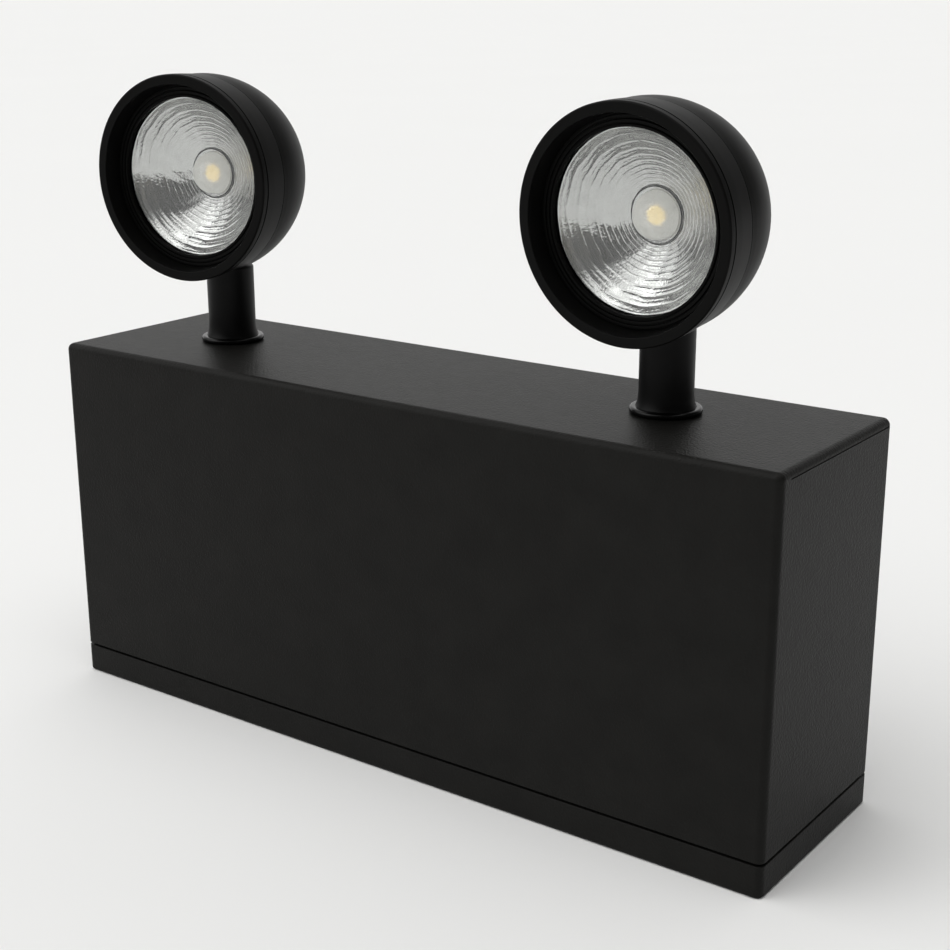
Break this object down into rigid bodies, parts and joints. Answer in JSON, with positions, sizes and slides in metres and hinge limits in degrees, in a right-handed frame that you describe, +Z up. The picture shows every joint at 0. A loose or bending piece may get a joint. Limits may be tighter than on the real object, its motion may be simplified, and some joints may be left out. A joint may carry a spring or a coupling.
{
  "type": "emergency light",
  "caption": "Black steel battery box with round LED lamp heads on swivelling stems; lights an escape route when the mains fails.",
  "frame": {"origin": "underside of the box, below the middle of the light", "axes": "+X along the box to the right as seen from the front, the lamps face -Y, +Z up"},
  "size_m": [0.3032, 0.0794, 0.2354],
  "materials": {
    "housing_black": "fine-textured powder coat",
    "panel_black": "fine-textured powder coat",
    "collar_black": "polished",
    "stem_black": "satin black",
    "bezel_black": "satin moulded",
    "shell_black": "satin moulded",
    "steel_zinc": "zinc plated",
    "rubber_black": "moulded",
    "battery_grey": "moulded",
    "battery_lid_black": "moulded",
    "tin": "tinned",
    "circuit_green": "solder mask",
    "core_steel": "stacked laminations",
    "coil_yellow": "taped winding",
    "capacitor_black": "sleeved",
    "terminal_green": "moulded",
    "lead_red": "PVC insulation",
    "lead_black": "PVC insulation",
    "switch_chrome": "plated",
    "button_red": "moulded",
    "switch_black": "moulded",
    "indicator_green": "clear tinted",
    "lens_clear": "clear",
    "reflector_bright": "metallised, finely ridged",
    "board_white": "white solder mask",
    "phosphor_yellow": "phosphor",
    "sink_aluminium": "as cast"
  },
  "bodies": {
    "housing": {"back_panel": "panel_black", "back_screws": "steel_zinc", "base_screws": "steel_zinc", "base_tray": "housing_black", "battery_case": "battery_grey", "battery_lead_black": "lead_black", "battery_lead_red": "lead_red", "battery_lid": "battery_lid_black", "battery_strap": "steel_zinc", "battery_terminals": "tin", "board_standoffs": "steel_zinc", "cable_grommet": "rubber_black", "charger_board": "circuit_green", "chassis_screws": "steel_zinc", "collars": "collar_black", "filter_capacitors": "capacitor_black", "hood_shell": "housing_black", "indicator_lens": "indicator_green", "lamp_leads": "lead_black", "stem_washers": "steel_zinc", "terminal_block": "terminal_green", "test_bezel": "switch_chrome", "test_switch_body": "switch_black", "transformer_coil": "coil_yellow", "transformer_core": "core_steel"},
    "test_button": {"test_button": "button_red"},
    "stem_left": {"stem_left": "stem_black", "stem_nut_left": "steel_zinc", "lead_stem_left": "lead_black"},
    "head_left": {"bezel_ring_left": "bezel_black", "head_screws_left": "steel_zinc", "heat_sink_left": "sink_aluminium", "lead_head_left": "lead_black", "led_board_left": "board_white", "led_dome_left": "lens_clear", "led_phosphor_left": "phosphor_yellow", "lens_left": "lens_clear", "pivot_pin_left": "steel_zinc", "rear_shell_left": "shell_black", "reflector_left": "reflector_bright", "retaining_ring_left": "bezel_black", "yoke_left": "steel_zinc"},
    "stem_right": {"stem_right": "stem_black", "stem_nut_right": "steel_zinc", "lead_stem_right": "lead_black"},
    "head_right": {"bezel_ring_right": "bezel_black", "head_screws_right": "steel_zinc", "heat_sink_right": "sink_aluminium", "lead_head_right": "lead_black", "led_board_right": "board_white", "led_dome_right": "lens_clear", "led_phosphor_right": "phosphor_yellow", "lens_right": "lens_clear", "pivot_pin_right": "steel_zinc", "rear_shell_right": "shell_black", "reflector_right": "reflector_bright", "retaining_ring_right": "bezel_black", "yoke_right": "steel_zinc"}
  },
  "joints": [
    {"name": "left_pan", "type": "hinge", "parent": "housing", "child": "stem_left", "pos_m": [-0.1025, 0.00325, 0.1346], "axis": [0, 0, 1], "range_deg": [-170, 170]},
    {"name": "left_tilt", "type": "hinge", "parent": "stem_left", "child": "head_left", "pos_m": [-0.1025, 0.00325, 0.169], "axis": [-0.9898, -0.1426, 0], "range_deg": [-19.2, 60.8]},
    {"name": "right_pan", "type": "hinge", "parent": "housing", "child": "stem_right", "pos_m": [0.0884, 0.00325, 0.1346], "axis": [0, 0, 1], "range_deg": [-170, 170]},
    {"name": "right_tilt", "type": "hinge", "parent": "stem_right", "child": "head_right", "pos_m": [0.0884, 0.00325, 0.169], "axis": [-0.9998, 0.0175, 0], "range_deg": [-16.1, 63.9]},
    {"name": "test_press", "type": "slide", "parent": "housing", "child": "test_button", "axis": [1, 0, 0], "range_m": [0, 0.0015], "stiffness_N_per_m": 600, "springref_m": -0.002}
  ]
}
